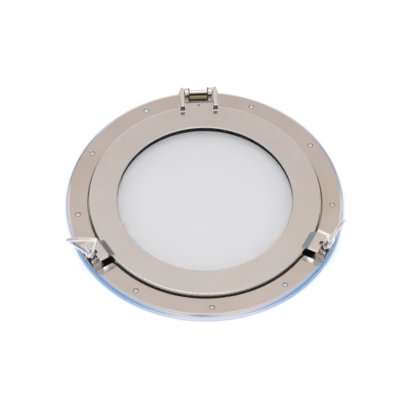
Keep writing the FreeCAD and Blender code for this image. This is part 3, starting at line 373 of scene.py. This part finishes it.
def make_rubber(name):
    material, tree, surface, place = new_material(name)
    grain = noise(tree, place, 1400.0)
    bloom = noise(tree, place, 45.0, detail=4.0)
    aged = remap(tree, bloom, 0.4, 0.75)
    bump = add(tree, "Bump", {"Height": grain, "Distance": GRAIN_HEIGHT, "Strength": 0.6})
    dress(tree, surface, {
        "Specular IOR Level": 0.25,
        "Base Color": mix_colour(tree, aged, rgba(NEW_RUBBER), rgba(BLOOMED_RUBBER)),
        "Roughness": remap(tree, bloom, *NOISE_SPREAD, 0.5, 0.75),
        "Normal": bump.outputs[0],
    })
    return material


def make_glass(name):
    """A clear pane with faint wiping haze."""
    material, tree, surface, place = new_material(name)
    wiping = {"Vector": place, "Rotation": (0, 0, WIPING_ANGLE), "Scale": WIPING_STRETCH}
    haze = noise(tree, add(tree, "Mapping", wiping).outputs[0], 1.6, detail=5.0, roughness=0.6)
    dress(tree, surface, {
        "Base Color": rgba(GLASS_TINT),
        "IOR": 1.5,
        "Transmission Weight": 1.0,
        "Roughness": remap(tree, haze, 0.4, 0.75, 0.0, 0.05),
    })
    return material


# ---- swing bolts with cut threads ----

BOLT_RADIUS = 0.003
BOLT_LENGTH = 0.051
BOLT_TIP = 0.0008  # its unthreaded end
TIP_ROWS = [(0.0009, 0.0001), (0.0013, 0.0)]  # how much narrower, and how far below the end
THREAD_START = 0.0135  # from the dog pin's axis
THREAD_PITCH = 0.001
THREAD_DEPTH = 0.0005
STEPS_PER_PITCH = 6
RUN_OUT_STEPS = 8  # over which the thread reaches its full depth
EYE_RADIUS = 0.005
EYE_WIDTH = 0.008
EYE_BORE = 0.00225
EYE_ROUNDING = 0.0009
ROUNDING_STEPS = 4
SHANK_START = EYE_BORE + 0.0005
TURN_STEPS = 32
WELD_DISTANCE = 1e-7


def add_grid(bm, rows):
    """Faces between rows of points; each row closes on itself."""
    rings = [[bm.verts.new(point) for point in row] for row in rows]
    for lower, upper in zip(rings, rings[1:]):
        count = len(lower)
        for i in range(count):
            following = (i + 1) % count
            bm.faces.new((lower[i], lower[following], upper[following], upper[i]))
    return rings


def circle_row(radius, height):
    turns = [math.tau * i / TURN_STEPS for i in range(TURN_STEPS)]
    return [Vector((radius * math.cos(t), radius * math.sin(t), height)) for t in turns]


def thread_row(height, fade):
    """One level of the thread: its crest climbs one pitch in each turn."""
    row = []
    for i in range(TURN_STEPS):
        share = i / TURN_STEPS
        phase = height / THREAD_PITCH - share
        crest = 0.5 + 0.5 * math.cos(math.tau * phase)
        radius = BOLT_RADIUS - THREAD_DEPTH * fade * (1 - crest)
        angle = math.tau * share
        row.append(Vector((radius * math.cos(angle), radius * math.sin(angle), height)))
    return row


def add_shank(bm):
    step = THREAD_PITCH / STEPS_PER_PITCH
    levels = int((BOLT_LENGTH - BOLT_TIP - THREAD_START) / step)
    rows = [circle_row(BOLT_RADIUS, SHANK_START), circle_row(BOLT_RADIUS, THREAD_START - step)]
    for i in range(levels + 1):
        rows.append(thread_row(THREAD_START + i * step, min(1.0, i / RUN_OUT_STEPS)))
    for narrower, below in TIP_ROWS:
        rows.append(circle_row(BOLT_RADIUS - narrower, BOLT_LENGTH - below))
    rings = add_grid(bm, rows)
    bm.faces.new(rings[-1])
    bm.faces.new(list(reversed(rings[0])))


def add_eye(bm):
    """The ring round the dog pin, turned about local X, with rounded edges."""
    half = EYE_WIDTH / 2
    flat_radius = EYE_RADIUS - EYE_ROUNDING
    profile = [(EYE_BORE, -half), (flat_radius, -half)]
    for i in range(1, ROUNDING_STEPS + 1):
        angle = math.radians(-90 + 90 / ROUNDING_STEPS * i)
        radius = flat_radius + EYE_ROUNDING * math.cos(angle)
        profile.append((radius, -half + EYE_ROUNDING * (1 + math.sin(angle))))
    profile += [(radius, -across) for radius, across in reversed(profile)]
    rows = []
    for radius, across in profile + profile[:1]:
        ring = circle_row(radius, across)
        rows.append([Vector((point.z, point.x, point.y)) for point in ring])
    add_grid(bm, rows)


def make_swing_bolt(side, material):
    joints = {joint["name"]: joint for joint in frame["joints"]}
    swing = joints[f"dog_swing_{side}"]
    shank = Vector(joints[f"nut_turn_{side}"]["axis"]).normalized()
    across = Vector(swing["axis"]).normalized()
    inward = shank.cross(across)
    turn = Matrix((across, inward, shank)).transposed()
    bm = bmesh.new()
    add_shank(bm)
    add_eye(bm)
    bmesh.ops.remove_doubles(bm, verts=bm.verts, dist=WELD_DISTANCE)
    bmesh.ops.recalc_face_normals(bm, faces=bm.faces)
    mesh = bpy.data.meshes.new(f"threaded_bolt_{side}")
    bm.to_mesh(mesh)
    bm.free()
    mesh.transform(Matrix.Translation(Vector(swing["pos_m"])) @ turn.to_4x4())
    mesh.materials.append(material)
    mesh.shade_smooth()
    bolt = bpy.data.objects.new(mesh.name, mesh)
    bpy.context.scene.collection.objects.link(bolt)
    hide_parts(f"swing_bolt_{side}")
    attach(bolt, f"dog_{side}")


# ---- finishes of the CAD pieces ----


def finish_pieces():
    # The flange ring's patches are painted reflections on its outer side and a painted reflection
    # on its dog pockets' lower ends.
    flange = make_metal(
        "flange_nickel", WARM_NICKEL, 0.20, edge=0.0012, stains=0.75,
        patches=[(outer_side, SIDE_REFLECTION), (lower_side, LOWER_SIDE_BLUE_REFLECTION), (pocket_ramp, RAMP_REFLECTION)])
    door = make_metal("door_nickel", CLEAN_NICKEL, 0.21, reach=0.0045)
    milled = make_metal(
        # The hinge arms carry painted shade on their front ends and a painted highlight along
        # their thin base.
        "arm_nickel", CLEAN_NICKEL, 0.14, marks="y", edge=0.0008,
        patches=[(arm_front, ARM_FRONT_SHADE), (arm_base, ARM_BASE_HIGHLIGHT)])
    # The hinge bracket's web carries a painted dark reflection.
    hinge = make_metal(
        "hinge_nickel", CLEAN_NICKEL, 0.16, marks="x", edge=0.0011,
        patches=[(hinge_web, WEB_DARK_REFLECTION)])
    # Painted shade: the tab screw's dark colour stands for the shade in its recess.
    dark_screw = make_metal("shaded_screw_nickel", SCREW_RECESS_SHADE, 0.30, marks="z", edge=0.0003)
    cast = make_metal(
        "cast_nickel", CLEAN_NICKEL, 0.13, marks="x", lumps=0.00003, edge=0.0008)
    wing = make_metal(
        "wing_nickel", BRIGHT_NICKEL, 0.13, marks="x", lumps=0.00003, edge=0.0008)
    bracket = make_metal("bracket_nickel", WARM_NICKEL, 0.24, marks="z", lumps=0.00002)
    fastener = make_metal("fastener_nickel", BRIGHT_NICKEL, 0.12, marks="z", edge=0.0003)
    rubber = make_rubber("black_rubber")
    glass = make_glass("clear_glass")
    finishes = {
        flange: ["flange_ring"],
        door: ["door_ring", "glass_retainer"],
        milled: ["hinge_arm_left", "hinge_arm_right"],
        hinge: ["hinge_bracket"],
        cast: ["door_lug_left", "door_lug_right"],
        wing: ["wing_nut_left", "wing_nut_right"],
        bracket: ["dog_bracket_left", "dog_bracket_right"],
        fastener: [
            "flange_screws", "hinge_bracket_screws", "hinge_arm_screws", "dog_bracket_screws",
            "retainer_screws", "hinge_pin", "dog_pin_left", "dog_pin_right",
            "dog_washer_left", "dog_washer_right", "swing_bolt_left", "swing_bolt_right",
        ],
        dark_screw: ["tab_screw"],
        rubber: ["door_seal", "glazing_seal"],
        glass: ["glass_pane"],
    }
    for material, names in finishes.items():
        for name in names:
            mesh = frame["nodes"][name].data
            mesh.materials.clear()
            mesh.materials.append(material)
    for side in ("left", "right"):
        make_swing_bolt(side, fastener)


# ---- floor ----

FLOOR_HALF = 6.0
FLOOR_HEIGHT = -0.0003
FLOOR_GLOW = 0.29
FLOOR_PALE = (0.90, 0.90, 0.90)
FLOOR_PALER = (0.93, 0.93, 0.93)
# Painted shadow: the floor under the flange ring is black and does not glow.
RING_SHADOW_COLOUR = (0.01, 0.01, 0.01)
SHADE_INNER = (0.168, 0.172)  # where the painted shadow under the ring starts and is full, from inside
SHADE_OUTER = (0.213, 0.211)  # and from outside


def make_floor():
    """A pale floor with a painted black shadow under the flange ring; the dog pockets go through
    to it.
    """
    material, tree, surface, place = new_material("pale_floor")
    pale = mix_colour(tree, noise(tree, place, 3.0), rgba(FLOOR_PALE), rgba(FLOOR_PALER))
    radius = axis_distance(tree, place)
    ring_shadow = product(
        tree, remap(tree, radius, *SHADE_INNER), remap(tree, radius, *SHADE_OUTER))
    dress(tree, surface, {
        "Base Color": mix_colour(tree, ring_shadow, pale, rgba(RING_SHADOW_COLOUR)),
        "Roughness": 0.9,
        "Specular IOR Level": 0.1,
        "Emission Color": (1, 1, 1, 1),
        "Emission Strength": remap(tree, ring_shadow, 0.0, 1.0, FLOOR_GLOW, 0.0),
    })
    mesh = bpy.data.meshes.new("floor")
    signs = ((-1, -1), (1, -1), (1, 1), (-1, 1))
    corners = [(x * FLOOR_HALF, y * FLOOR_HALF, FLOOR_HEIGHT) for x, y in signs]
    mesh.from_pydata(corners, [], [(0, 1, 2, 3)])
    mesh.materials.append(material)
    floor = bpy.data.objects.new("floor", mesh)
    bpy.context.scene.collection.objects.link(floor)


# ---- light and surroundings ----

# Brightness of the studio by height (the sine of elevation), behind the porthole and on the
# camera's side.
BEHIND = [
    (0.00, (0.80, 0.80, 0.80)),
    (0.05, (0.85, 0.85, 0.85)),
    (0.22, (0.95, 0.95, 0.95)),
    (0.30, (1.50, 1.49, 1.48)),
    (0.42, (0.93, 0.92, 0.91)),
    (0.55, (0.56, 0.55, 0.54)),
    (0.78, (0.585, 0.545, 0.550)),
    (0.84, (0.80, 0.775, 0.770)),
    (0.91, (0.80, 0.780, 0.770)),
    (0.97, (0.62, 0.61, 0.60)),
]
BEFORE = [
    (0.00, (0.88, 0.90, 0.94)),
    (0.45, (0.84, 0.86, 0.90)),
    (0.80, (0.90, 0.91, 0.93)),
    (0.93, (0.62, 0.61, 0.60)),
]
PEAK = 1.6  # brightest value that the stops can hold
BLUE_WALL = (0.62, 0.78, 0.95)
LOW_WALL = (0.28, 0.36, 0.46)
AT_CAMERA = (0.02, 0.02, 0.02)
STUDIO_STRENGTH = 1.1

# Where each part of the studio starts and is full, as parts of the unit direction.
TO_CAMERA_SIDE = (0.15, -0.15)
WALL_SIDEWAYS = (0.40, 0.60)
WALL_DEPTH = (0.30, 0.05)
WALL_HEIGHT = (0.80, 0.60)
LOW_HEIGHT = (0.34, 0.24)
LOW_SIDEWAYS = (0.34, 0.42)
CAMERA_SPOT = (math.cos(math.radians(8)), math.cos(math.radians(6.5)))

OVERHEAD_PLACE = (0, -0.5, 2.6)
OVERHEAD_AIM = (0, -0.5, 0)
OVERHEAD_SIZE = (1.3, 2.0)
OVERHEAD_RADIANCE = 0.9


def brightness_by_height(tree, height, stops):
    node = add(tree, "ValToRGB", {"Fac": height})
    ramp = node.color_ramp
    while len(ramp.elements) < len(stops):
        ramp.elements.new(0.5)
    for element, (position, colour) in zip(ramp.elements, stops):
        element.position = position
        element.color = rgba(colour, 1 / PEAK)
    return node.outputs["Color"]


def make_world(camera_direction):
    """A pale studio: a grey band high behind, blue walls beside, a dark spot at the camera."""
    world = bpy.data.worlds.new("studio")
    world.use_nodes = True
    bpy.context.scene.world = world
    tree = world.node_tree
    tree.nodes.clear()
    direction = add(tree, "TexCoord").outputs["Generated"]
    x, y, z = split(tree, direction)
    sideways = calculate(tree, "ABSOLUTE", x)
    colour = mix_colour(
        tree, remap(tree, y, *TO_CAMERA_SIDE),
        brightness_by_height(tree, z, BEHIND), brightness_by_height(tree, z, BEFORE))
    beside = product(tree, remap(tree, sideways, *WALL_SIDEWAYS), remap(tree, y, *WALL_DEPTH))
    beside = product(tree, beside, remap(tree, z, *WALL_HEIGHT))
    colour = mix_colour(tree, beside, colour, rgba(BLUE_WALL, 1 / PEAK))
    low = product(tree, remap(tree, z, *LOW_HEIGHT), remap(tree, sideways, *LOW_SIDEWAYS))
    colour = mix_colour(tree, low, colour, rgba(LOW_WALL, 1 / PEAK))
    behind_camera = remap(tree, alignment(tree, direction, camera_direction), *CAMERA_SPOT)
    colour = mix_colour(tree, behind_camera, colour, rgba(AT_CAMERA))
    light = {"Color": colour, "Strength": STUDIO_STRENGTH * PEAK}
    background = add(tree, "Background", light)
    output = add(tree, "OutputWorld")
    tree.links.new(background.outputs[0], output.inputs["Surface"])


def add_overhead():
    """A rectangular area light above; its radiance is its brightness as seen."""
    light = bpy.data.lights.new("overhead", "AREA")
    light.shape = "RECTANGLE"
    light.size, light.size_y = OVERHEAD_SIZE
    light.energy = OVERHEAD_RADIANCE * math.pi * OVERHEAD_SIZE[0] * OVERHEAD_SIZE[1]
    lamp = bpy.data.objects.new("overhead", light)
    lamp.location = OVERHEAD_PLACE
    downward = Vector(OVERHEAD_AIM) - Vector(OVERHEAD_PLACE)
    lamp.rotation_euler = downward.to_track_quat("-Z", "Y").to_euler()
    bpy.context.scene.collection.objects.link(lamp)


def make_stage():
    camera_direction = make_camera()
    make_world(camera_direction)
    make_floor()
    add_overhead()
    bpy.context.scene.view_settings.view_transform = "Standard"


finish_pieces()
make_stage()
